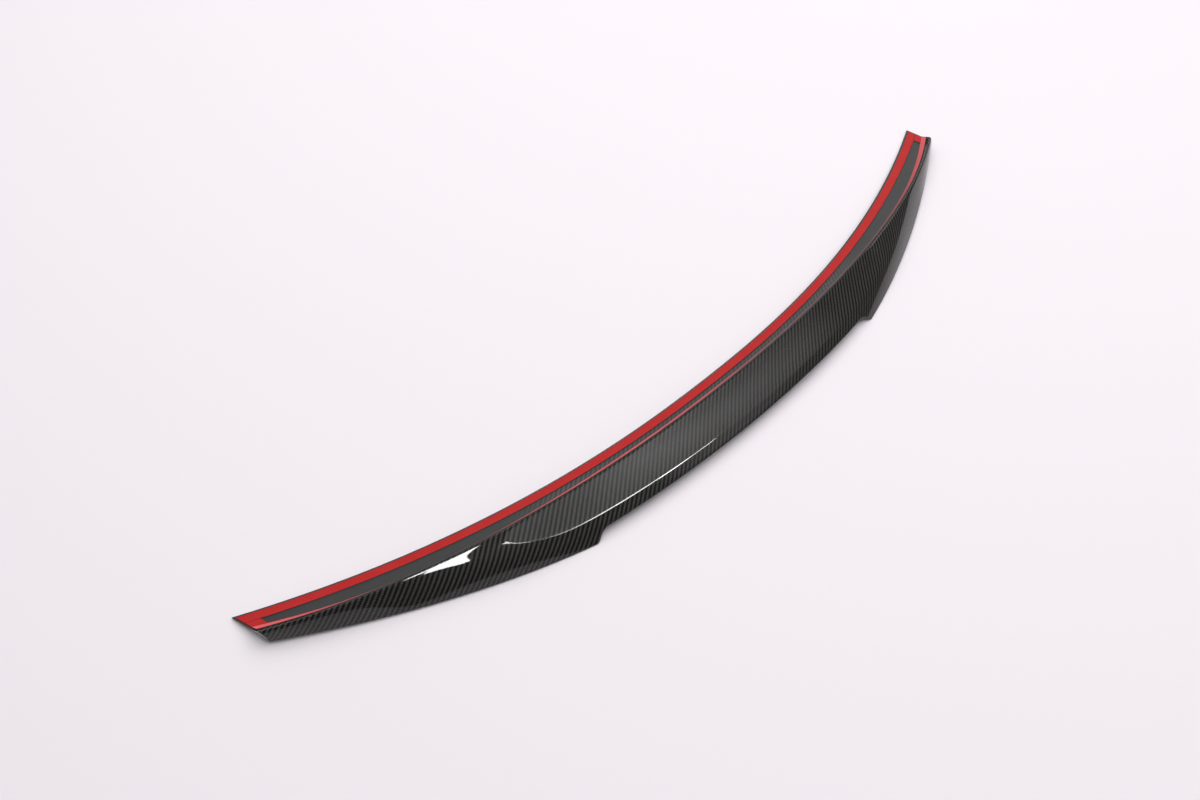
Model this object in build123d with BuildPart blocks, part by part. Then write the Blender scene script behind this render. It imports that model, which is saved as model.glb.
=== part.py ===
from build123d import *
import math
import os

# Car rear spoiler: a moulded carbon lip for a boot lid, lying underside up.
# X runs along its width, +Y points to the leading edge, Z is up. Millimetres.

# Foam tape and its release film
tape_width = 12.0
rear_tape_width = 8.0
tape_thickness = 1.1
liner_thickness = 0.2
film_clearance = 0.1
tape_margin = 2.0
tape_gap = 0.4

# Leading edge: bowed in plan, with its two corners ahead of the middle and on the ground
half_width = 560.0
tip_forward = 124.0
bow_power = 2.16
front_height = 18.8
front_drop_power = 1.75
front_edge_thickness = 2.2

# Flange under the front tape, and the steeper slope that climbs from it to the ridge
flange_bare = 8.0
flange_slope = 21.0
wrap_bare = 7.6
wrap_slope_middle = 50.0
wrap_slope_tip = 35.0
ridge_round = 6.0
ridge_round_tip = 2.0

# On the wings the flange swells, and the slope behind it is shorter and steeper
swell_power = 2.5
flange_swell = 11.0
wrap_shortening = 3.5
wrap_steepening = 13.0

# Rear face, which rolls over from the ridge to the trailing lip
tip_overhang = 4.0
trail_power = 1.95
trail_tip_height = 4.0
shoulder_wing = 0.5
lip_thickness = 3.0
lip_pull = 0.6
front_pull = 0.3

# Trailing edge between the two wings, cut back with an S-shaped step at each side
middle_depth = 77.0
middle_cut = 23.0
middle_edge_bow = 12.0
step_inner = 214.0
step_run = 26.0
step_height = 11.0

# Scoop that hollows the middle of the rear face
scoop_half_length = 238.0
scoop_runout = 74.0
scoop_depth = 5.0
scoop_reach = 0.5
scoop_margin = 0.25
scoop_columns = 29
scoop_rows = 10

# Slanted ends, rounded into the trailing edge
end_slant = 12.5
end_straight = 40.0
end_corner_radius = 24.0
end_corner_easing = 10.0

# Sections for the lofts, run past the ends and cut back to them
station_count = 15
overrun = 8.0
cutter_size = 60.0

# What follows from these sizes
flange_length = tape_margin + tape_width + flange_bare
wrap_length = tape_gap + rear_tape_width + wrap_bare
seat_sink = front_edge_thickness / 2
step_outer = step_inner + step_run
step_share = (step_outer / half_width) ** 2
centre_y = (tip_forward - middle_depth) / 2

os.makedirs("parts", exist_ok=True)


# The trailing edge sweeps forward to the tips, where it ends just behind the ridge
tip_skew = math.hypot(1, tip_forward * bow_power / half_width)
flange_run = flange_length * math.cos(math.radians(flange_slope))
wrap_run = wrap_length * math.cos(math.radians(wrap_slope_tip))
tip_depth = (flange_run + wrap_run) * tip_skew + tip_overhang
trail_sweep = tip_forward - tip_depth + middle_depth + middle_cut


def spread(first, last, count):
    return [first + (last - first) * i / (count - 1) for i in range(count)]


def mix(first, second, amount):
    return (first[0] + (second[0] - first[0]) * amount, first[1] + (second[1] - first[1]) * amount)


def moved(point, direction, distance):
    return (point[0] + direction[0] * distance, point[1] + direction[1] * distance)


def unit(first, second):
    length = math.dist(first, second)
    return ((second[0] - first[0]) / length, (second[1] - first[1]) / length)


class Section:
    """The spoiler cut across at x. Its points are (y, z) in that plane."""

    def __init__(self, x):
        share = abs(x) / half_width
        self.plane = Plane.YZ.offset(x)
        self.skew = math.hypot(1, tip_forward * bow_power * share ** (bow_power - 1) / half_width)
        drop = (front_height - front_edge_thickness) * share**front_drop_power
        self.front = (tip_forward * share**bow_power - centre_y, front_height - drop)
        swell = math.sin(math.pi * share**swell_power)
        self.flange = flange_length + flange_swell * swell
        self.bend = self.climb(self.front, self.flange, flange_slope)
        self.wrap = wrap_length - wrap_shortening * swell
        wrap_slope = wrap_slope_middle + (wrap_slope_tip - wrap_slope_middle) * share**4
        self.ridge = self.climb(self.bend, self.wrap, wrap_slope + wrap_steepening * swell)
        trail_y = trail_sweep * share**trail_power - middle_depth - middle_cut
        trail_z = trail_tip_height * (share**2 - step_share) / (1 - step_share)
        self.trail = (trail_y - centre_y, trail_z)
        corner = (self.trail[0], self.ridge[1])
        shoulder = shoulder_wing * (1 - (1 - min(share, 1) ** 2) ** 4)
        self.rear = (
            self.ridge,
            mix(mix(self.ridge, self.trail, 1 / 3), corner, shoulder),
            mix(mix(self.ridge, self.trail, 2 / 3), corner, shoulder),
            self.trail,
        )
        rounding = ridge_round + (ridge_round_tip - ridge_round) * share**2
        self.rounding = min(rounding, math.dist(self.ridge, self.rear[1]) / 2)

    def climb(self, point, length, slope):
        run = length * math.cos(math.radians(slope)) * self.skew
        return (point[0] - run, point[1] + length * math.sin(math.radians(slope)))

    def rear_point(self, t):
        weights = ((1 - t) ** 3, 3 * t * (1 - t) ** 2, 3 * t**2 * (1 - t), t**3)
        return tuple(sum(w * p[axis] for w, p in zip(weights, self.rear)) for axis in (0, 1))

    def strip(self, start, end, length, first, last, low, high):
        """Corners of a strip on the face from start to end, whose true length is given."""
        along = ((end[0] - start[0]) / length, (end[1] - start[1]) / length)
        out = unit((0, 0), (along[1], -along[0]))
        near = moved(start, along, first)
        far = moved(start, along, last)
        return moved(near, out, low), moved(far, out, low), moved(far, out, high), moved(near, out, high)

    def flange_strip(self, low, high):
        last = tape_margin + tape_width
        return self.strip(self.front, self.bend, self.flange, tape_margin, last, low, high)

    def wrap_strip(self, low, high):
        last = tape_gap + rear_tape_width
        return self.strip(self.bend, self.ridge, self.wrap, tape_gap, last, low, high)

    def cross_strip(self, low, high):
        first = tape_margin + tape_width + tape_gap
        last = self.flange - 2 * tape_gap
        return self.strip(self.front, self.bend, self.flange, first, last, low, high)


def end_lines(inset):
    """Where the right end starts at the front corner, and its two plan directions."""
    lean = math.radians(end_slant)
    back = (-math.sin(lean), -math.cos(lean))
    inboard = (back[1], -back[0])
    corner = (half_width, Section(half_width).front[0])
    return moved(corner, inboard, inset), back, inboard


def cut_ends(inset):
    """Cut away what lies beyond the two rounded ends, moved inboard by inset."""
    corner, back, inboard = end_lines(inset)
    ahead = moved(corner, back, -cutter_size)
    trail_lean = math.degrees(math.atan(trail_sweep * trail_power / half_width))
    corner_turn = 90 - end_slant - trail_lean - end_corner_easing
    with BuildSketch(mode=Mode.PRIVATE) as beyond:
        with BuildLine():
            straight = Line(ahead, moved(corner, back, end_straight))
            turn = JernArc(straight @ 1, back, end_corner_radius, -corner_turn)
            runout = Line(turn @ 1, moved(tuple(turn @ 1), tuple(turn % 1), cutter_size))
            far = moved(tuple(runout @ 1), inboard, -2 * cutter_size)
            Polyline(runout @ 1, far, moved(ahead, inboard, -2 * cutter_size), ahead)
        make_face()
        mirror(about=Plane.YZ)
    extrude(beyond.sketch, amount=cutter_size, both=True, mode=Mode.SUBTRACT)


def keep_end_band():
    """Keep only a tape's width beside the right end."""
    corner, back, inboard = end_lines(tape_margin)
    with BuildSketch(mode=Mode.PRIVATE) as band:
        with BuildLine():
            outer = (moved(corner, back, -cutter_size), moved(corner, back, cutter_size))
            inner = [moved(point, inboard, tape_width) for point in reversed(outer)]
            Polyline(*outer, *inner, close=True)
        make_face()
    extrude(band.sketch, amount=cutter_size, both=True, mode=Mode.INTERSECT)


def strip_sections(stations, corners, low, high):
    """Cross-sections of a strip of tape or film, from low to high above the face it lies on."""
    outlines = []
    for x in stations:
        cut = Section(x)
        with BuildSketch(cut.plane, mode=Mode.PRIVATE) as outline:
            with BuildLine():
                Polyline(*corners(cut, low, high), close=True)
            make_face()
        outlines.append(outline.sketch)
    return outlines


def scoop_point(x, t):
    y, z = Section(x).rear_point(t)
    runout = max(0.0, abs(x) - scoop_half_length) / scoop_runout
    return (x, y, z - scoop_depth * (1 - (t / scoop_reach) ** 2 - runout**2))


station_x = spread(-half_width - overrun, half_width + overrun, station_count)
right_x = [x for x in station_x if x > -overrun]

# Body: one moulding, lofted through its cross-sections
with BuildPart() as body:
    for x in station_x:
        cut = Section(x)
        before_ridge = moved(cut.ridge, unit(cut.ridge, cut.bend), cut.rounding)
        after_ridge = moved(cut.ridge, unit(cut.ridge, cut.rear[1]), cut.rounding)
        lip = (cut.trail[0] + lip_thickness, cut.trail[1])
        front_low = (cut.front[0], cut.front[1] - front_edge_thickness)
        rise = lip_pull * (cut.ridge[1] - cut.trail[1])
        above_lip = moved(lip, unit(cut.trail, cut.rear[2]), rise)
        reach = front_pull * math.dist(lip, front_low)
        behind_front = moved(front_low, unit(cut.front, cut.bend), reach)
        with BuildSketch(cut.plane):
            with BuildLine():
                Polyline(cut.front, cut.bend, before_ridge)
                TangentArc(before_ridge, after_ridge, tangent=unit(cut.bend, cut.ridge))
                Bezier(after_ridge, cut.rear[1], cut.rear[2], cut.trail)
                Line(cut.trail, lip)
                Bezier(lip, above_lip, behind_front, front_low)
                Line(front_low, cut.front)
            make_face()
    loft()
    # Scoop: a hollow surface that runs out of the rear face at both ends
    scoop_end = scoop_half_length + (1 + scoop_margin) * scoop_runout
    scoop_x = spread(-scoop_end, scoop_end, scoop_columns)
    scoop_t = spread(-scoop_margin * scoop_reach, (1 + scoop_margin) * scoop_reach, scoop_rows)
    scoop_grid = [[scoop_point(x, t) for t in scoop_t] for x in scoop_x]
    hollow = Face.make_surface_from_array_of_points(scoop_grid)
    extrude(hollow, amount=cutter_size, dir=(0, 0, 1), mode=Mode.SUBTRACT)
    # Trailing edge between the wings, drawn square to the rear face
    middle = Section(0)
    fall = unit(middle.ridge, middle.trail)
    edge_y = -middle_depth - centre_y
    edge_z = middle.ridge[1] + fall[1] / fall[0] * (edge_y - middle.ridge[0])
    rear_plane = Plane(origin=(0, edge_y, edge_z), x_dir=(1, 0, 0), z_dir=(0, fall[1], -fall[0]))
    step_middle = (step_inner + step_outer) / 2
    step_low = middle_edge_bow - step_height
    with BuildSketch(rear_plane):
        with BuildLine():
            ThreePointArc((-step_inner, middle_edge_bow), (0, 0), (step_inner, middle_edge_bow))
            for side in (-1, 1):
                Bezier(
                    (side * step_inner, middle_edge_bow),
                    (side * step_middle, middle_edge_bow),
                    (side * step_middle, step_low),
                    (side * step_outer, step_low),
                )
                Line((side * step_outer, step_low), (side * step_outer, -cutter_size))
            Line((-step_outer, -cutter_size), (step_outer, -cutter_size))
        make_face()
    extrude(amount=cutter_size, both=True, mode=Mode.SUBTRACT)
    cut_ends(0)

foam_layer = (-seat_sink, tape_thickness)
film_layer = (tape_thickness + film_clearance, tape_thickness + liner_thickness)

# Front and rear tapes: foam let down onto the body, with film on its outer face
with BuildPart() as front_tape:
    loft(strip_sections(station_x, Section.flange_strip, *foam_layer))
    add(body.part, mode=Mode.SUBTRACT)
    cut_ends(tape_margin)

with BuildPart() as front_tape_liner:
    loft(strip_sections(station_x, Section.flange_strip, *film_layer))
    cut_ends(tape_margin)

with BuildPart() as rear_tape:
    loft(strip_sections(station_x, Section.wrap_strip, *foam_layer))
    add(body.part, mode=Mode.SUBTRACT)
    cut_ends(tape_margin)

with BuildPart() as rear_tape_liner:
    loft(strip_sections(station_x, Section.wrap_strip, *film_layer))
    cut_ends(tape_margin)

# End tapes, which close the frame of tape between the front and rear strips
with BuildPart() as right_end_tape:
    loft(strip_sections(right_x, Section.cross_strip, *foam_layer))
    add(body.part, mode=Mode.SUBTRACT)
    keep_end_band()

with BuildPart() as right_end_tape_liner:
    loft(strip_sections(right_x, Section.cross_strip, *film_layer))
    keep_end_band()

with BuildPart() as left_end_tape:
    mirror(right_end_tape.part, about=Plane.YZ)

with BuildPart() as left_end_tape_liner:
    mirror(right_end_tape_liner.part, about=Plane.YZ)

body.part.label = "spoiler_body"
front_tape.part.label = "front_tape"
front_tape_liner.part.label = "front_tape_liner"
rear_tape.part.label = "rear_tape"
rear_tape_liner.part.label = "rear_tape_liner"
left_end_tape.part.label = "left_end_tape"
left_end_tape_liner.part.label = "left_end_tape_liner"
right_end_tape.part.label = "right_end_tape"
right_end_tape_liner.part.label = "right_end_tape_liner"

export_step(body.part, "parts/spoiler_body.step")
export_step(front_tape.part, "parts/front_tape.step")
export_step(front_tape_liner.part, "parts/front_tape_liner.step")
export_step(rear_tape.part, "parts/rear_tape.step")
export_step(rear_tape_liner.part, "parts/rear_tape_liner.step")
export_step(left_end_tape.part, "parts/left_end_tape.step")
export_step(left_end_tape_liner.part, "parts/left_end_tape_liner.step")
export_step(right_end_tape.part, "parts/right_end_tape.step")
export_step(right_end_tape_liner.part, "parts/right_end_tape_liner.step")
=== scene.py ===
import math

import bpy
import numpy as np
from mathutils import Matrix, Quaternion, Vector


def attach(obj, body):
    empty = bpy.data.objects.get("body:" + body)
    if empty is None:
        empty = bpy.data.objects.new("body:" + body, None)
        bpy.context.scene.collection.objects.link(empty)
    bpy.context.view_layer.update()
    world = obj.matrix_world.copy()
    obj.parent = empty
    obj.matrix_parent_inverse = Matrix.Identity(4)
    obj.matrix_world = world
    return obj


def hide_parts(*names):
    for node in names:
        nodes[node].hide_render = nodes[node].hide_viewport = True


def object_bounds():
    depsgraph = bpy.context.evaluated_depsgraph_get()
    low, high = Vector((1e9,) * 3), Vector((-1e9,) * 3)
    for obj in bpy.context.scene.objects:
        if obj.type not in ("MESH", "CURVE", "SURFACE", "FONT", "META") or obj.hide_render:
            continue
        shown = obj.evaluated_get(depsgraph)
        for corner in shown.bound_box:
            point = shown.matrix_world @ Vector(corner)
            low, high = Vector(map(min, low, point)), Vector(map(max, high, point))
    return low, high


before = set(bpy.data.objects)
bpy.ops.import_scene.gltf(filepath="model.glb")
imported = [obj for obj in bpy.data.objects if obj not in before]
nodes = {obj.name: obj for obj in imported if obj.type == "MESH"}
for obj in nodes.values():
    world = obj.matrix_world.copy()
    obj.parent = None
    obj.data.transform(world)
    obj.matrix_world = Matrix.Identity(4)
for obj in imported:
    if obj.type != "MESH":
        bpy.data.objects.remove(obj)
cadLow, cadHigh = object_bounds()
scene = bpy.context.scene
scene.view_settings.view_transform = "Standard"
print("frame loaded:", len(nodes), "nodes")


# a shader socket that takes part in Python expressions
class Wire:
    def __init__(self, tree, socket):
        self.tree = tree
        self.socket = socket

    def maths(self, operation, *values):
        node = self.tree.nodes.new("ShaderNodeMath")
        node.operation = operation
        for slot, value in zip(node.inputs, values):
            plug(self.tree, slot, value)
        return Wire(self.tree, node.outputs[0])

    def __add__(self, other):
        return self.maths("ADD", self, other)

    def __radd__(self, other):
        return self.maths("ADD", other, self)

    def __sub__(self, other):
        return self.maths("SUBTRACT", self, other)

    def __rsub__(self, other):
        return self.maths("SUBTRACT", other, self)

    def __mul__(self, other):
        return self.maths("MULTIPLY", self, other)

    def __rmul__(self, other):
        return self.maths("MULTIPLY", other, self)

    def __truediv__(self, other):
        return self.maths("DIVIDE", self, other)

    def __rtruediv__(self, other):
        return self.maths("DIVIDE", other, self)

    def __pow__(self, other):
        return self.maths("POWER", self, other)

    def __mod__(self, other):
        return self.maths("FLOORED_MODULO", self, other)

    def __lt__(self, other):
        return self.maths("LESS_THAN", self, other)

    def __abs__(self):
        return self.maths("ABSOLUTE", self)

    def __floor__(self):
        return self.maths("FLOOR", self)


def plug(tree, slot, value):
    if isinstance(value, Wire):
        tree.links.new(value.socket, slot)
    else:
        slot.default_value = value


# one material with its node tree and its main shader
class Finish:
    sockets = {
        "colour": "Base Color", "roughness": "Roughness", "specular": "Specular IOR Level",
        "coat": "Coat Weight", "coatRoughness": "Coat Roughness", "coatIor": "Coat IOR", "normal": "Normal",
    }

    def __init__(self, name):
        self.material = bpy.data.materials.new(name)
        self.material.use_nodes = True
        self.tree = self.material.node_tree
        self.shader = self.tree.nodes["Principled BSDF"]

    # sockets are given by name, or as in0, in1 and so on where names repeat
    def node(self, kind, settings, out=0, **sockets):
        made = self.tree.nodes.new(kind)
        for key, value in settings.items():
            setattr(made, key, value)
        for key, value in sockets.items():
            slot = int(key[2:]) if key.startswith("in") else key
            plug(self.tree, made.inputs[slot], value)
        return Wire(self.tree, made.outputs[out])

    # inputs 6 and 7 and output 2 are the node's colours
    def blend(self, amount, first, second):
        return self.node("ShaderNodeMix", {"data_type": "RGBA"}, out=2, in0=amount, in6=first, in7=second)

    def place(self):
        return self.node("ShaderNodeTexCoord", {}, out="Object")

    def grey(self, level, warmth=0.0):
        red, blue = level * (1 + warmth), level * (1 - warmth)
        return self.node("ShaderNodeCombineColor", {}, Red=red, Green=level, Blue=blue)

    def set(self, **values):
        for key, value in values.items():
            plug(self.tree, self.shader.inputs[self.sockets[key]], value)


# the moulding, in millimetres, as it lies underside up
lip = {
    "halfWidth": 560.0, "tipForward": 124.0, "bowPower": 2.16,
    "frontHeight": 18.8, "frontDropPower": 1.75, "edgeThickness": 2.2,
    "flange": 22.0, "flangeSlope": 21.0,
    "wrap": 16.0, "wrapSlope": 50.0, "wrapSlopeTip": 35.0, "wrapSlopePower": 4,
    "swellPower": 2.5, "flangeSwell": 11.0, "wrapShortening": 3.5, "wrapSteepening": 13.0,
    "ridgeRound": 6.0, "ridgeRoundTip": 2.0,
    "rearEase": 6.5, "easeFrom": (268.0, 318.0), "easeTo": (352.0, 445.0), "easeRoom": 0.9,
    "tipOverhang": 4.0, "trailPower": 1.95, "trailTipHeight": 4.0, "shoulder": 0.5, "shoulderPower": 4,
    "wingFlat": 0.86, "flatAt": 440.0, "flatInboard": 90.0, "flatOutboard": 110.0, "frontLip": 1.9,
    "lipThickness": 3.0, "lipPull": 0.6, "frontPull": 0.3,
    "middleDepth": 77.0, "middleCut": 23.0, "middleBow": 12.0,
    "stepInner": 214.0, "stepOuter": 240.0, "stepHeight": 11.0,
    "scoopHalf": 238.0, "scoopRunout": 74.0, "scoopDepth": 5.0, "scoopReach": 0.5,
    "hollowSpan": (-0.125, 0.7), "hollowEnd": 1.25, "wellAbove": 1e3, "wellBelow": -1e6,
    "endSlant": 12.5, "endStraight": 40.0, "endRadius": 24.0, "endEasing": 10.0,
    "edgeSoftness": 0.55, "trailSoftness": 1.5, "trailReach": 4.0, "traceStep": 0.4,
    "lineSteps": 60, "crownSteps": 30, "rearSteps": 260, "overSteps": 700, "hollowSteps": 400,
    "underSteps": 300, "cutSteps": 200, "bowSteps": 1200,
    "columns": 600, "tableStep": 1.0, "overrun": 8.0, "endBlend": 90.0, "leanPasses": 4,
    "cornerReach": 1.4, "cornerShare": 0.3, "cornerRows": 5, "runRows": [8, 5, 22, 24, 1, 20, 1],
}
centreY = (lip["tipForward"] - lip["middleDepth"]) / 2
stepShare = (lip["stepOuter"] / lip["halfWidth"]) ** 2
tipSkew = math.hypot(1, lip["tipForward"] * lip["bowPower"] / lip["halfWidth"])
flangeRun = lip["flange"] * math.cos(math.radians(lip["flangeSlope"]))
wrapRun = lip["wrap"] * math.cos(math.radians(lip["wrapSlopeTip"]))
tipDepth = (flangeRun + wrapRun) * tipSkew + lip["tipOverhang"]
trailSweep = lip["tipForward"] - tipDepth + lip["middleDepth"] + lip["middleCut"]


def bezier(points, steps):
    t = np.asarray(steps)[:, None]
    p = [np.asarray(point, float) for point in points]
    return (1 - t) ** 3 * p[0] + 3 * t * (1 - t) ** 2 * p[1] + 3 * t**2 * (1 - t) * p[2] + t**3 * p[3]


def towards(start, end, distance):
    start, end = np.asarray(start, float), np.asarray(end, float)
    return start + (end - start) * distance / np.linalg.norm(end - start)


def smooth(value, low, high):
    t = np.clip((value - low) / (high - low), 0, 1)
    return t * t * (3 - 2 * t)


# the moulding cut across at x, as points (y, z)
class Section:
    def __init__(self, x):
        share = abs(x) / lip["halfWidth"]
        slope = lip["tipForward"] * lip["bowPower"] * share ** (lip["bowPower"] - 1) / lip["halfWidth"]
        self.skew = math.hypot(1, slope)
        drop = (lip["frontHeight"] - lip["edgeThickness"]) * share ** lip["frontDropPower"]
        frontY = lip["tipForward"] * share ** lip["bowPower"] - centreY
        self.front = np.array([frontY, lip["frontHeight"] - drop])
        swell = math.sin(math.pi * share ** lip["swellPower"])
        self.bend = self.climb(self.front, lip["flange"] + lip["flangeSwell"] * swell, lip["flangeSlope"])
        easing = lip["wrapSlopeTip"] - lip["wrapSlope"]
        wrapSlope = lip["wrapSlope"] + easing * share ** lip["wrapSlopePower"]
        wrapSlope += lip["wrapSteepening"] * swell
        self.ridge = self.climb(self.bend, lip["wrap"] - lip["wrapShortening"] * swell, wrapSlope)
        trailY = trailSweep * share ** lip["trailPower"] - lip["middleDepth"] - lip["middleCut"]
        trailZ = lip["trailTipHeight"] * (share**2 - stepShare) / (1 - stepShare)
        self.trail = np.array([trailY - centreY, trailZ])
        corner = np.array([self.trail[0], self.ridge[1]])
        shoulder = lip["shoulder"] * (1 - (1 - min(share, 1) ** 2) ** lip["shoulderPower"])
        # the rear face is flatter along the wings
        reach = lip["flatInboard"] if abs(x) < lip["flatAt"] else lip["flatOutboard"]
        shoulder *= 1 - lip["wingFlat"] * math.exp(-((abs(x) - lip["flatAt"]) / reach) ** 2)
        third = self.ridge + (self.trail - self.ridge) / 3
        twoThirds = self.ridge + (self.trail - self.ridge) * 2 / 3
        self.rear = (self.ridge, third + (corner - third) * shoulder,
                     twoThirds + (corner - twoThirds) * shoulder, self.trail)
        rounding = lip["ridgeRound"] + (lip["ridgeRoundTip"] - lip["ridgeRound"]) * share**2
        room = np.linalg.norm(self.ridge - self.rear[1])
        self.rounding = min(rounding, room / 2)
        # beside the scoop the ridge rolls further into the rear face
        ease = smooth(abs(x), *lip["easeFrom"]) * (1 - smooth(abs(x), *lip["easeTo"]))
        self.rearRounding = min(self.rounding + lip["rearEase"] * ease, room * lip["easeRoom"])

    def climb(self, point, length, slope):
        slope = math.radians(slope)
        return point + np.array([-length * math.cos(slope) * self.skew, length * math.sin(slope)])


middleSection = Section(0)
fall = towards(middleSection.ridge, middleSection.trail, 1) - middleSection.ridge
cutY = -lip["middleDepth"] - centreY
cutPoint = np.array([cutY, middleSection.ridge[1] + fall[1] / fall[0] * (cutY - middleSection.ridge[0])])


# how far up the rear face the trailing edge is cut back between the wings
def trailingCut(x):
    x = abs(x)
    inner, outer, bow = lip["stepInner"], lip["stepOuter"], lip["middleBow"]
    radius = (inner**2 + bow**2) / (2 * bow)
    if x <= inner:
        return radius - math.sqrt(radius**2 - x**2)
    if x >= outer:
        return lip["wellBelow"]
    s = np.linspace(0, 1, lip["cutSteps"])
    middle = (inner + outer) / 2
    low = bow - lip["stepHeight"]
    curve = bezier([(inner, bow), (middle, bow), (middle, low), (outer, low)], s)
    return float(np.interp(x, curve[:, 0], curve[:, 1]))


def arcLength(points):
    return np.concatenate([[0], np.cumsum(np.linalg.norm(np.diff(points, axis=0), axis=1))])


def retrace(points, count):
    s = arcLength(points)
    at = np.linspace(0, s[-1], count)
    return np.stack([np.interp(at, s, points[:, k]) for k in (0, 1)], 1)


# rounds every corner of a closed outline with a bell four sigmas wide to each side
def soften(points, sigma):
    reach = int(4 * sigma) + 1
    kernel = np.exp(-0.5 * (np.arange(-reach, reach + 1) / sigma) ** 2)
    kernel /= kernel.sum()
    wrapped = np.concatenate([points[-reach:], points, points[:reach]])
    return np.stack([np.convolve(wrapped[:, k], kernel, "valid") for k in (0, 1)], 1)


# rows round the section: front edge, over the top to the trailing edge, back along the far side
def outlineRows(x):
    cut = Section(x)
    before = towards(cut.ridge, cut.bend, cut.rounding)
    after = towards(cut.ridge, cut.rear[1], cut.rearRounding)
    trimAt = trailingCut(x)

    def height(points):
        return (points - cutPoint) @ -fall

    frontEdge = cut.front + np.array([lip["frontLip"], 0])
    flange = np.linspace(frontEdge, cut.bend, lip["lineSteps"])
    wrap = np.linspace(cut.bend, before, lip["lineSteps"])
    pulls = [(before + 2 * cut.ridge) / 3, (after + 2 * cut.ridge) / 3]
    crown = bezier([before, *pulls, after], np.linspace(0, 1, lip["crownSteps"]))
    rear = bezier([after, cut.rear[1], cut.rear[2], cut.trail], np.linspace(0, 1, lip["rearSteps"]))
    over = retrace(np.concatenate([wrap, crown[1:], rear[1:]]), lip["overSteps"])
    climbed = arcLength(np.concatenate([wrap, crown]))
    frontKey, rearKey = climbed[len(wrap) - 1], climbed[-1]
    runout = max(0.0, abs(x) - lip["scoopHalf"]) / lip["scoopRunout"]
    if runout < 1:
        t = np.linspace(*lip["hollowSpan"], lip["hollowSteps"])
        hollow = bezier(cut.rear, t)
        hollow[:, 1] -= lip["scoopDepth"] * (1 - (t / lip["scoopReach"]) ** 2 - runout**2)
        hollow = hollow[t <= lip["hollowEnd"] * lip["scoopReach"]]
        hollow = hollow[np.argsort(hollow[:, 0])]
        away = lip["wellAbove"]
        level = np.interp(over[:, 0], hollow[:, 0], hollow[:, 1], left=away, right=away)
        lowered = np.where(level < over[:, 1])[0]
        over[:, 1] = np.minimum(over[:, 1], level)
        if len(lowered):
            s = arcLength(over)
            frontKey = min(frontKey, s[lowered[0]])
            rearKey = max(rearKey, s[lowered[-1]])
    s = arcLength(over)
    keep = np.where((height(over) >= trimAt) | (s < rearKey))[0][-1]
    over = over[: keep + 1]
    lipPoint = cut.trail + np.array([lip["lipThickness"], 0])
    frontLow = frontEdge - np.array([0, lip["edgeThickness"]])
    rise = lip["lipPull"] * (cut.ridge[1] - cut.trail[1])
    aboveLip = lipPoint + (towards(cut.trail, cut.rear[2], 1) - cut.trail) * rise
    reach = lip["frontPull"] * np.linalg.norm(frontLow - lipPoint)
    behindFront = frontLow + (towards(cut.front, cut.bend, 1) - cut.front) * reach
    under = bezier([lipPoint, aboveLip, behindFront, frontLow], np.linspace(0, 1, lip["underSteps"]))
    under = under[np.where(height(under) >= trimAt)[0][0]:]
    loop = np.concatenate([flange, over[1:], under, frontEdge[None]])
    lengths = arcLength(loop)
    flangeEnd = lengths[len(flange) - 1]
    trailEnd = lengths[len(flange) + len(over) - 2]
    facetEnd = lengths[len(flange) + len(over) - 1]
    frontEnd = lengths[-2]
    ridgeEnds = [flangeEnd + frontKey, flangeEnd + rearKey]
    keys = [0, flangeEnd, *ridgeEnds, trailEnd, facetEnd, frontEnd, lengths[-1]]
    count = int(lengths[-1] / lip["traceStep"])
    closed = retrace(loop, count + 1)[:-1]
    rounded = soften(closed, lip["edgeSoftness"] / lip["traceStep"])
    along = np.linspace(0, lengths[-1], count + 1)
    # the trailing edge is rolled more than the other edges
    near = np.exp(-(((along[:-1] - trailEnd) / lip["trailReach"]) ** 2))[:, None]
    rounded += (soften(closed, lip["trailSoftness"] / lip["traceStep"]) - rounded) * near
    rounded = np.concatenate([rounded, rounded[:1]])
    places = rowPlaces(keys)
    wrapped = np.mod(places, lengths[-1])
    girth = np.full(len(places), lengths[-1])
    return np.stack([np.interp(wrapped, along, rounded[:, k]) for k in (0, 1)] + [places, girth], 1)


# rows crowd round each corner and spread evenly along the runs between
def rowPlaces(keys):
    corners = np.minimum(lip["cornerReach"], np.diff(keys) * lip["cornerShare"])
    places = []
    for k, runRows in enumerate(lip["runRows"]):
        start, end, near = keys[k], keys[k + 1], corners[k]
        places += list(start + np.linspace(-corners[k - 1], near, lip["cornerRows"]))
        places += list(np.linspace(start + near, end - near, runRows + 2)[1:-1])
    return np.array(places)


# how far the slanted, rounded end lies inboard of the front corner
def endInset(y):
    lean = math.radians(lip["endSlant"])
    trailLean = math.atan(trailSweep * lip["trailPower"] / lip["halfWidth"])
    turn = math.pi / 2 - lean - trailLean - math.radians(lip["endEasing"])
    radius = lip["endRadius"]
    cornerY = lip["tipForward"] - centreY
    back = np.maximum(cornerY - y, 0) / math.cos(lean)
    past = np.maximum(back - lip["endStraight"], 0)
    bent = np.minimum(past, radius * math.sin(turn))
    peel = radius - np.sqrt(radius**2 - bent**2) + (past - bent) * math.tan(turn)
    return back * math.sin(lean) + peel * math.cos(lean)


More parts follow.
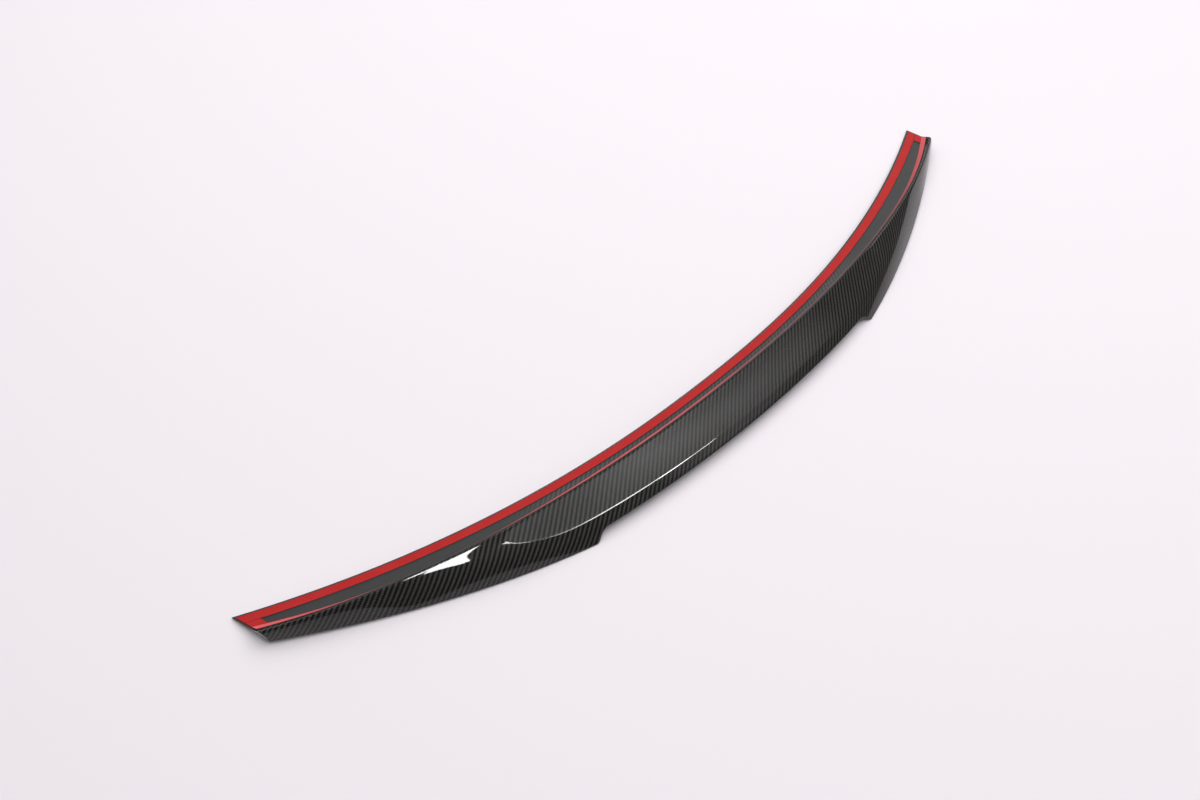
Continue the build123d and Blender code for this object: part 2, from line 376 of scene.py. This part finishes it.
def buildBody():
    half = lip["halfWidth"]
    table = np.arange(0, half + lip["overrun"] + lip["tableStep"] / 10, lip["tableStep"])
    traced = np.array([outlineRows(x) for x in table])
    base = np.linspace(-half, half, lip["columns"] + 1)
    side = np.sign(base)[:, None]
    columns, rows = len(base), traced.shape[1]

    def across(x, value):
        return np.stack([np.interp(x[:, r], table, traced[:, r, value]) for r in range(rows)], 1)

    # the last columns lean over to follow the slanted ends
    share = smooth(np.abs(base), half - lip["endBlend"], half)[:, None]
    x = np.repeat(np.abs(base)[:, None], rows, 1)
    for attempt in range(lip["leanPasses"]):
        x = np.abs(base)[:, None] - share * endInset(across(x, 0))
    y, z, along, girth = (across(x, value) for value in range(4))

    # the cloth's own coordinates: along the bow, and round the section
    fine = np.linspace(0, half + 1, lip["bowSteps"])
    bow = lip["tipForward"] * lip["bowPower"] * (fine / half) ** (lip["bowPower"] - 1) / half
    run = np.concatenate([[0], np.cumsum(np.hypot(1, (bow[1:] + bow[:-1]) / 2) * np.diff(fine))])
    length = np.interp(x, fine, run) * side

    points = np.stack([x * side, y, z], 2).reshape(-1, 3) / 1000  # metres from here on
    faces, zones = [], []
    cornerRow = lip["cornerRows"] // 2
    flangeRows = range(cornerRow, lip["cornerRows"] + lip["runRows"][0] + cornerRow + 1)
    for i in range(columns - 1):
        for r in range(rows):
            n = (r + 1) % rows
            faces.append((i * rows + r, (i + 1) * rows + r, (i + 1) * rows + n, i * rows + n))
            zones.append(1 if r in flangeRows else 0)
    last = (columns - 1) * rows
    faces.append(tuple(range(rows)))
    faces.append(tuple(last + r for r in reversed(range(rows))))
    zones += [0, 0]
    mesh = bpy.data.meshes.new("carbonLip")
    mesh.from_pydata(points.tolist(), [], faces)

    # face corners that close a ring take the full girth, so the cloth doesn't run back across them
    corners = np.zeros(len(mesh.loops), np.int32)
    mesh.loops.foreach_get("vertex_index", corners)
    flat = np.stack([length.reshape(-1)[corners], along.reshape(-1)[corners]], 1).astype(np.float32)
    quads = (columns - 1) * rows * 4
    rowOf = corners[:quads].reshape(-1, 4) % rows
    closing = (rowOf.max(1) == rows - 1) & (rowOf.min(1) == 0)
    seam = np.zeros(len(corners), bool)
    seam[:quads] = ((rowOf == 0) & closing[:, None]).reshape(-1)
    flat[seam, 1] += girth.reshape(-1)[corners[seam]]
    layer = mesh.uv_layers.new(name="weave")
    layer.data.foreach_set("uv", flat.reshape(-1))

    mesh.polygons.foreach_set("material_index", zones)
    mesh.polygons.foreach_set("use_smooth", [True] * len(faces))
    for edge in mesh.edges:
        first, second = edge.vertices
        if max(first, second) < rows or min(first, second) >= last:
            edge.use_edge_sharp = True
    mesh.update()
    body = bpy.data.objects.new("carbonLip", mesh)
    scene.collection.objects.link(body)
    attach(body, "root")
    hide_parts("spoiler_body")
    return body


body = buildBody()
print("moulding:", len(body.data.vertices), "points,", len(body.data.polygons), "faces")

# two by two twill under a clear coat, tow width in millimetres
twill = {
    "tow": 1.6, "repeat": 4.0, "passes": 1.5, "warp": 0.051, "weft": 0.006, "warmth": 0.05,
    "crown": 0.45, "edgeShade": 0.5, "edgePower": 3.0,
    "fibre": 0.3, "fibreAlong": 0.25, "fibreAcross": 5.0, "fibreDetail": 1.0,
    "towTone": 0.12, "warpSeed": 0.37, "weftSeed": 0.71, "drape": 0.15, "drapeSize": 0.02,
    "roughness": 0.45, "specular": 0.03, "coatRoughness": 0.025, "coatIor": 1.38,
}


def weave(f):
    uv = f.node("ShaderNodeUVMap", {"uv_map": "weave"})
    along = f.node("ShaderNodeSeparateXYZ", {}, out=0, Vector=uv)
    around = f.node("ShaderNodeSeparateXYZ", {}, out=1, Vector=uv)
    p, q = along / twill["tow"], around / twill["tow"]
    i, j = math.floor(p), math.floor(q)
    warpUp = (i + j) % twill["repeat"] < twill["passes"]
    weftUp = 1 - warpUp
    across = warpUp * (q - j - 0.5) + weftUp * (p - i - 0.5)
    # fine fibres along each tow, a tone for each tow, and the cloth's slow drape
    thin, wide = twill["fibreAlong"], twill["fibreAcross"]
    strand = f.node("ShaderNodeCombineXYZ", {}, X=p * (warpUp * thin + weftUp * wide),
                    Y=q * (warpUp * wide + weftUp * thin))
    fibre = f.node("ShaderNodeTexNoise", {"noise_dimensions": "2D"}, Vector=strand, Scale=1.0,
                   Detail=twill["fibreDetail"])
    towNumber = warpUp * (j + twill["warpSeed"]) + weftUp * (i + twill["weftSeed"])
    tone = f.node("ShaderNodeTexWhiteNoise", {"noise_dimensions": "1D"}, W=towNumber)
    drape = f.node("ShaderNodeTexNoise", {"noise_dimensions": "2D"}, Vector=uv, Scale=twill["drapeSize"])
    shade = 1 - (abs(across) * 2) ** twill["edgePower"] * twill["edgeShade"]
    shade = shade * (1 + twill["fibre"] * (fibre * 2 - 1)) * (1 + twill["towTone"] * (tone * 2 - 1))
    shade = shade * (1 + twill["drape"] * (drape * 2 - 1))
    # warp tows are painted lighter than weft tows: partly the cloth's own tone, partly a painted glint of
    # tows that catch the light
    level = (warpUp * twill["warp"] + weftUp * twill["weft"]) * shade
    tilt = across * twill["crown"]
    leanAlong, leanAround = weftUp * tilt + 0.5, warpUp * tilt + 0.5
    facing = f.node("ShaderNodeCombineColor", {}, Red=leanAlong, Green=leanAround, Blue=1.0)
    return along, f.grey(level, twill["warmth"]), facing


def carbonFinish():
    f = Finish("carbonTwill")
    along, cloth, facing = weave(f)
    normal = f.node("ShaderNodeNormalMap", {"uv_map": "weave"}, Color=facing)
    f.set(colour=cloth, roughness=twill["roughness"], specular=twill["specular"], normal=normal,
          coat=1.0, coatRoughness=twill["coatRoughness"], coatIor=twill["coatIor"])
    return f.material


# the taped flange: bare cloth in the middle, smooth grey resin out along the wings
resin = {
    "level": 0.030, "roughness": 0.5, "specular": 0.5, "clothEnd": 215.0, "fade": 95.0,
    "speckle": 0.2, "speckleSize": 900.0, "speckleDetail": 3.0, "bump": 0.1, "bumpDepth": 0.0002,
    "cloud": 0.15, "cloudSize": 30.0, "cloudDetail": 2.0, "flatNormal": (0.5, 0.5, 1, 1),
}


def resinFinish():
    f = Finish("flangeResin")
    along, cloth, facing = weave(f)
    cover = f.node("ShaderNodeClamp", {}, Value=(abs(along) - resin["clothEnd"]) / resin["fade"])
    cover = cover * cover * (3 - 2 * cover)
    place = f.place()
    grain = f.node("ShaderNodeTexNoise", {}, Vector=place, Scale=resin["speckleSize"],
                   Detail=resin["speckleDetail"])
    cloud = f.node("ShaderNodeTexNoise", {}, Vector=place, Scale=resin["cloudSize"],
                   Detail=resin["cloudDetail"])
    level = resin["level"] * (1 + resin["speckle"] * (grain * 2 - 1))
    level = level * (1 + resin["cloud"] * (cloud * 2 - 1))
    colour = f.blend(cover, cloth, f.grey(level))
    facing = f.blend(cover, facing, resin["flatNormal"])
    normal = f.node("ShaderNodeNormalMap", {"uv_map": "weave"}, Color=facing)
    bump = f.node("ShaderNodeBump", {}, Height=grain, Strength=resin["bump"],
                  Distance=resin["bumpDepth"], Normal=normal)
    f.set(colour=colour, roughness=twill["roughness"] + (resin["roughness"] - twill["roughness"]) * cover,
          specular=resin["specular"], coat=1 - cover, coatRoughness=twill["coatRoughness"],
          coatIor=twill["coatIor"], normal=bump)
    return f.material


body.data.materials.append(carbonFinish())
body.data.materials.append(resinFinish())
print("carbon and resin finishes made")

# satin release film over closed-cell foam, on the CAD strips
film = {
    "red": (0.44, 0.012, 0.012, 1), "pale": (0.52, 0.026, 0.026, 1),
    "roughness": 0.48, "roughFrom": 0.85, "roughRange": 0.3, "specular": 0.1,
    # paler reds for the rear strip: a painted sheen over the film's own red
    "sheenRed": (0.80, 0.10, 0.11, 1), "sheenPale": (0.90, 0.13, 0.14, 1),
    # a dark colour painted as shade on the rear film in two places along it
    "shadeColour": (0.14, 0.09, 0.092, 1), "shadedPlaces": [(-0.375, 0.09), (0.22, 0.23)], "shadePower": 4.0,
    "streakSize": 35.0, "streakDetail": 3.0,
    "ripple": 0.12, "rippleSize": 260.0, "rippleDetail": 2.0, "rippleDepth": 0.0003,
}
foam = {
    "level": 0.03, "toneFrom": 0.7, "toneRange": 0.6, "roughness": 0.9,
    "cellSize": 2500.0, "cellDepth": 0.0002, "bump": 0.3,
}


def filmFinish(name, red, pale, shadedPlaces):
    f = Finish(name)
    place = f.place()
    streak = f.node("ShaderNodeTexNoise", {}, Vector=place, Scale=film["streakSize"],
                    Detail=film["streakDetail"])
    ripple = f.node("ShaderNodeTexNoise", {}, Vector=place, Scale=film["rippleSize"],
                    Detail=film["rippleDetail"])
    colour = f.blend(streak, red, pale)
    along = f.node("ShaderNodeSeparateXYZ", {}, Vector=place)
    # painted shade: the film darkens round each of these places
    for middle, reach in shadedPlaces:
        shadeAmount = 1 / (1 + ((along - middle) / reach) ** film["shadePower"])
        colour = f.blend(shadeAmount, colour, film["shadeColour"])
    bump = f.node("ShaderNodeBump", {}, Height=ripple, Strength=film["ripple"], Distance=film["rippleDepth"])
    roughness = film["roughness"] * (film["roughFrom"] + film["roughRange"] * streak)
    f.set(colour=colour, roughness=roughness, specular=film["specular"], normal=bump)
    return f.material


def foamFinish():
    f = Finish("tapeFoam")
    place = f.place()
    cells = f.node("ShaderNodeTexVoronoi", {}, Vector=place, Scale=foam["cellSize"])
    colour = f.grey(foam["level"] * (foam["toneFrom"] + foam["toneRange"] * cells))
    bump = f.node("ShaderNodeBump", {}, Height=cells, Strength=foam["bump"], Distance=foam["cellDepth"])
    f.set(colour=colour, roughness=foam["roughness"], normal=bump)
    return f.material


# the rear strip's film is painted paler than the others, a painted sheen for its grazing reflection, and
# darkened in two places as painted shade
redFilm = filmFinish("releaseFilm", film["red"], film["pale"], [])
sheenFilm = filmFinish("sheenFilm", film["sheenRed"], film["sheenPale"], film["shadedPlaces"])
darkFoam = foamFinish()
for name, node in nodes.items():
    if name == "spoiler_body":
        continue
    node.data.materials.clear()
    if not name.endswith("liner"):
        node.data.materials.append(darkFoam)
    elif name.startswith("rear"):
        node.data.materials.append(sheenFilm)
    else:
        node.data.materials.append(redFilm)
print("film and foam finishes made")

# pale floor, a large ceiling light, and soft boxes that show only in the gloss
studio = {
    "floor": (0.905, 0.852, 0.894, 1), "floorHalf": 8.0, "world": 0.28, "worldGloss": 0.06,
    "ceiling": {"at": (1.3, 0.75, 3.0), "size": (5.5, 5.5), "radiance": 1.68},
}
# ridge and wedge boxes make the pointed highlight on the left wing
# crease, tail and end boxes make the line round the scoop, and the rest give a soft sheen
softBoxes = {
    "ridgeBox": {"at": (-0.212, 0.142, 2.520), "aim": (-0.38, 0.0, 0.03), "turn": 29.8,
                 "size": (0.146, 2.93), "radiance": 40.0},
    "wedgeBox": {"at": (-0.077, 0.889, 2.469), "aim": (-0.245, 0.747, -0.021), "turn": 29.8,
                 "size": (0.11, 1.45), "radiance": 40.0},
    "creaseBox": {"at": (0.464, -1.323, 1.969), "aim": (-0.14, -0.06, 0.02), "turn": 13.9,
                  "size": (0.86, 0.44), "radiance": 38.0},
    "tailBox": {"at": (0.91, -1.415, 2.0), "size": (0.22, 0.29), "radiance": 50.0},
    "farTailBox": {"at": (1.11, -1.455, 2.0), "size": (0.18, 0.15), "radiance": 42.0},
    "endBox": {"at": (0.03, -0.60, 2.0), "size": (0.40, 0.26), "radiance": 28.0},
    "scoopBox": {"at": (0.76, -0.85, 2.13), "aim": (-0.14, -0.05, 0.02), "size": (2.2, 2.2), "spread": 43.0,
                 "radiance": 0.14},
    "windowBox": {"at": (1.35, 2.435, 1.01), "aim": (0.0, 0.05, 0.02), "size": (1.8, 0.9), "radiance": 0.55},
    "sideBox": {"at": (2.26, 1.70, 1.0), "aim": (0.45, 0.06, 0.02), "size": (0.6, 0.8), "radiance": 3.0},
}


def hangLamp(name, box, gloss):
    lamp = bpy.data.lights.new(name, "AREA")
    lamp.shape = "RECTANGLE"
    lamp.size, lamp.size_y = box["size"]
    lamp.energy = math.pi * lamp.size * lamp.size_y * box["radiance"]
    lamp.spread = math.radians(box.get("spread", 180))
    hung = bpy.data.objects.new(name, lamp)
    hung.location = box["at"]
    if "aim" in box:
        facing = (Vector(box["aim"]) - hung.location).to_track_quat("-Z", "Y")
        roll = Quaternion((0, 0, 1), math.radians(box.get("turn", 0)))
        hung.rotation_euler = (facing @ roll).to_euler()
    hung.visible_camera = False
    hung.visible_glossy = gloss
    hung.visible_diffuse = not gloss
    scene.collection.objects.link(hung)


def buildStudio():
    half = studio["floorHalf"]
    mesh = bpy.data.meshes.new("floor")
    corners = [(-half, -half, 0), (half, -half, 0), (half, half, 0), (-half, half, 0)]
    mesh.from_pydata(corners, [], [(0, 1, 2, 3)])
    floor = bpy.data.objects.new("floor", mesh)
    floor.location.z = cadLow.z
    scene.collection.objects.link(floor)
    f = Finish("paleFloor")
    f.set(colour=studio["floor"], roughness=1.0, specular=0.0)
    mesh.materials.append(f.material)
    scene.world = bpy.data.worlds.new("studio")
    scene.world.use_nodes = True
    tree = scene.world.node_tree
    gloss = Wire(tree, tree.nodes.new("ShaderNodeLightPath").outputs["Is Glossy Ray"])
    sky = tree.nodes["Background"]
    sky.inputs["Color"].default_value = (1, 1, 1, 1)
    dimming = studio["world"] - studio["worldGloss"]
    plug(tree, sky.inputs["Strength"], studio["world"] - dimming * gloss)
    hangLamp("ceiling", studio["ceiling"], False)
    for name, box in softBoxes.items():
        hangLamp(name, box, True)


# where the photograph was taken from, with its axes
shot = {
    "place": (-0.64176, -0.52348, 1.01016),
    "right": (0.725428, -0.688298, 0.0), "down": (-0.542186, -0.571433, -0.616035),
    "forward": (0.424016, 0.446889, -0.787719), "lens": 33.0, "sensor": 36.0, "clip": (0.01, 50),
}


def buildCamera():
    data = bpy.data.cameras.new("camera")
    data.sensor_width = shot["sensor"]
    data.lens = shot["lens"]
    data.clip_start, data.clip_end = shot["clip"]
    camera = bpy.data.objects.new("camera", data)
    right, up, back = Vector(shot["right"]), -Vector(shot["down"]), -Vector(shot["forward"])
    turn = Matrix((right, up, back)).transposed()
    camera.matrix_world = Matrix.Translation(shot["place"]) @ turn.to_4x4()
    scene.collection.objects.link(camera)
    scene.camera = camera


buildStudio()
buildCamera()
print("studio and camera made")
